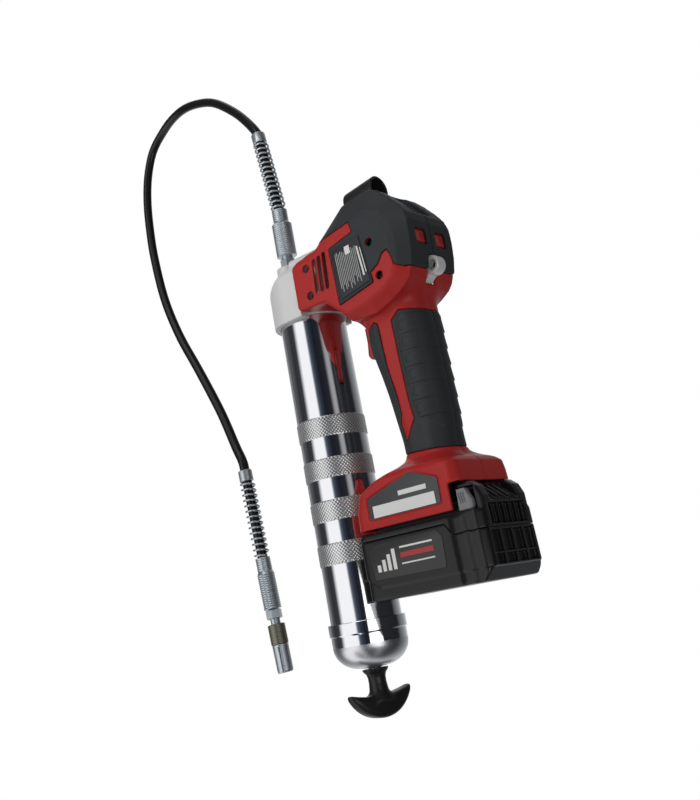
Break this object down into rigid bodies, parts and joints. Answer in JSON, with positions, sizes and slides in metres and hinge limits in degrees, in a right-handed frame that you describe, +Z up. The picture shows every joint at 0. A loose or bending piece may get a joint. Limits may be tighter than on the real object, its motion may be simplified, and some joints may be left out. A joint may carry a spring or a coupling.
{
  "type": "cordless grease gun",
  "caption": "Battery-powered grease gun with cartridge barrel, spring follower, pistol grip, slide-on battery pack and flexible whip hose, lying on its side.",
  "frame": {"origin": "on the floor, under the middle of the tool without its hose, the tool lying on its right side", "axes": "+Y from the T-handle end of the barrel towards the pump head, +X towards the battery's rear, +Z up out of the tool's left side"},
  "size_m": [0.389, 0.6196, 0.076],
  "materials": {
    "chrome": "polished bright plating",
    "head_metal": "fine cast, satin light grey",
    "zinc": "bright zinc plating",
    "coupler_metal": "dull phosphate",
    "steel": "machined steel",
    "gearbox_metal": "die cast",
    "seal": "moulded rubber",
    "red_shell": "fine satin moulding",
    "red_control": "smooth moulding",
    "soft_black": "soft matt overmould",
    "black_plastic": "satin black moulding",
    "battery_black": "semi-gloss black",
    "latch_grey": "smooth dark grey",
    "cell_sleeve": "shrink-sleeved cells",
    "board_green": "circuit board",
    "label_grey": "printed foil",
    "eyelet_metal": "satin cast",
    "hose_rubber": "smooth thermoplastic hose"
  },
  "bodies": {
    "tool": {"barrel_tube": "chrome", "end_cap": "chrome", "rod_bush": "chrome", "pump_head": "head_metal", "bleed_valve": "zinc", "hose_inlet": "zinc", "crimp_sleeve_upper": "zinc", "spring_guard_upper": "zinc", "guard_ring_upper": "zinc", "guard_ring_lower": "zinc", "spring_guard_lower": "zinc", "crimp_sleeve_lower": "zinc", "coupler_stem": "coupler_metal", "grease_coupler": "coupler_metal", "follower_spring": "steel", "check_ball": "steel", "check_spring": "steel", "ring_gear": "steel", "motor_can": "steel", "housing_screw_1": "steel", "housing_screw_2": "steel", "housing_screw_3": "steel", "housing_screw_4": "steel", "gearbox_case": "gearbox_metal", "barrel_gasket": "seal", "housing_left": "red_shell", "housing_right": "red_shell", "soft_cover_left": "soft_black", "soft_cover_right": "soft_black", "grip_rubber_left": "soft_black", "grip_rubber_right": "soft_black", "hose_clip": "black_plastic", "switch_body": "black_plastic", "motor_end_bell": "black_plastic", "control_board": "board_green", "rating_plate": "label_grey", "foot_badge_left": "label_grey", "foot_badge_right": "label_grey", "strap_eyelet": "eyelet_metal", "hose": "hose_rubber"},
    "rod": {"follower_rod": "steel", "t_handle": "black_plastic", "follower_cup": "seal"},
    "plunger": {"plunger_yoke": "steel", "pump_plunger": "steel"},
    "output": {"crank": "steel", "planet_carrier": "steel"},
    "rotor": {"rotor": "steel", "sun_gear": "steel"},
    "planet_1": {"planet_gear_1": "steel"},
    "planet_2": {"planet_gear_2": "steel"},
    "planet_3": {"planet_gear_3": "steel"},
    "trigger": {"trigger": "red_control"},
    "button_left": {"push_button_left": "red_control"},
    "button_right": {"push_button_right": "red_control"},
    "battery": {"battery_case_lower": "battery_black", "battery_case_upper": "battery_black", "cell_pack": "cell_sleeve"},
    "latch_left": {"battery_latch_left": "latch_grey"},
    "latch_right": {"battery_latch_right": "latch_grey"}
  },
  "joints": [
    {"name": "follower_slide", "type": "slide", "parent": "tool", "child": "rod", "axis": [0, -1, 0], "range_m": [0, 0.185], "stiffness_N_per_m": 90, "springref_m": -0.05, "deforming": ["follower_spring"]},
    {"name": "plunger_slide", "type": "slide", "parent": "tool", "child": "plunger", "axis": [0, 1, 0], "range_m": [-0.0025, 0.0025]},
    {"name": "rotor_spin", "type": "hinge", "parent": "tool", "child": "rotor", "pos_m": [0.046, 0.13815, 0.038], "axis": [1, 0, 0], "continuous": true},
    {"name": "output_spin", "type": "hinge", "parent": "tool", "child": "output", "pos_m": [-0.002, 0.13815, 0.038], "axis": [1, 0, 0], "continuous": true},
    {"name": "planet_spin_1", "type": "hinge", "parent": "output", "child": "planet_1", "pos_m": [0.006, 0.14865, 0.038], "axis": [1, 0, 0], "continuous": true},
    {"name": "planet_spin_2", "type": "hinge", "parent": "output", "child": "planet_2", "pos_m": [0.006, 0.1329, 0.04709], "axis": [1, 0, 0], "continuous": true},
    {"name": "planet_spin_3", "type": "hinge", "parent": "output", "child": "planet_3", "pos_m": [0.006, 0.1329, 0.02891], "axis": [1, 0, 0], "continuous": true},
    {"name": "trigger_pull", "type": "slide", "parent": "tool", "child": "trigger", "axis": [1, 0, 0], "range_m": [0, 0.0055], "stiffness_N_per_m": 900, "springref_m": -0.006},
    {"name": "button_left_press", "type": "slide", "parent": "tool", "child": "button_left", "axis": [-1, 0, 0], "range_m": [0, 0.0015], "stiffness_N_per_m": 600, "springref_m": -0.002},
    {"name": "button_right_press", "type": "slide", "parent": "tool", "child": "button_right", "axis": [-1, 0, 0], "range_m": [0, 0.0015], "stiffness_N_per_m": 600, "springref_m": -0.002},
    {"name": "battery_slide", "type": "slide", "parent": "tool", "child": "battery", "axis": [1, 0, 0], "range_m": [0, 0.11]},
    {"name": "latch_left_press", "type": "slide", "parent": "battery", "child": "latch_left", "axis": [0, 0, -1], "range_m": [0, 0.002], "stiffness_N_per_m": 800, "springref_m": -0.003},
    {"name": "latch_right_press", "type": "slide", "parent": "battery", "child": "latch_right", "axis": [0, 0, 1], "range_m": [0, 0.002], "stiffness_N_per_m": 800, "springref_m": -0.003}
  ],
  "couplings": [
    {"joint": "output_spin", "follows": "rotor_spin", "ratio": 0.25},
    {"joint": "planet_spin_1", "follows": "rotor_spin", "ratio": -0.75},
    {"joint": "planet_spin_2", "follows": "rotor_spin", "ratio": -0.75},
    {"joint": "planet_spin_3", "follows": "rotor_spin", "ratio": -0.75}
  ]
}
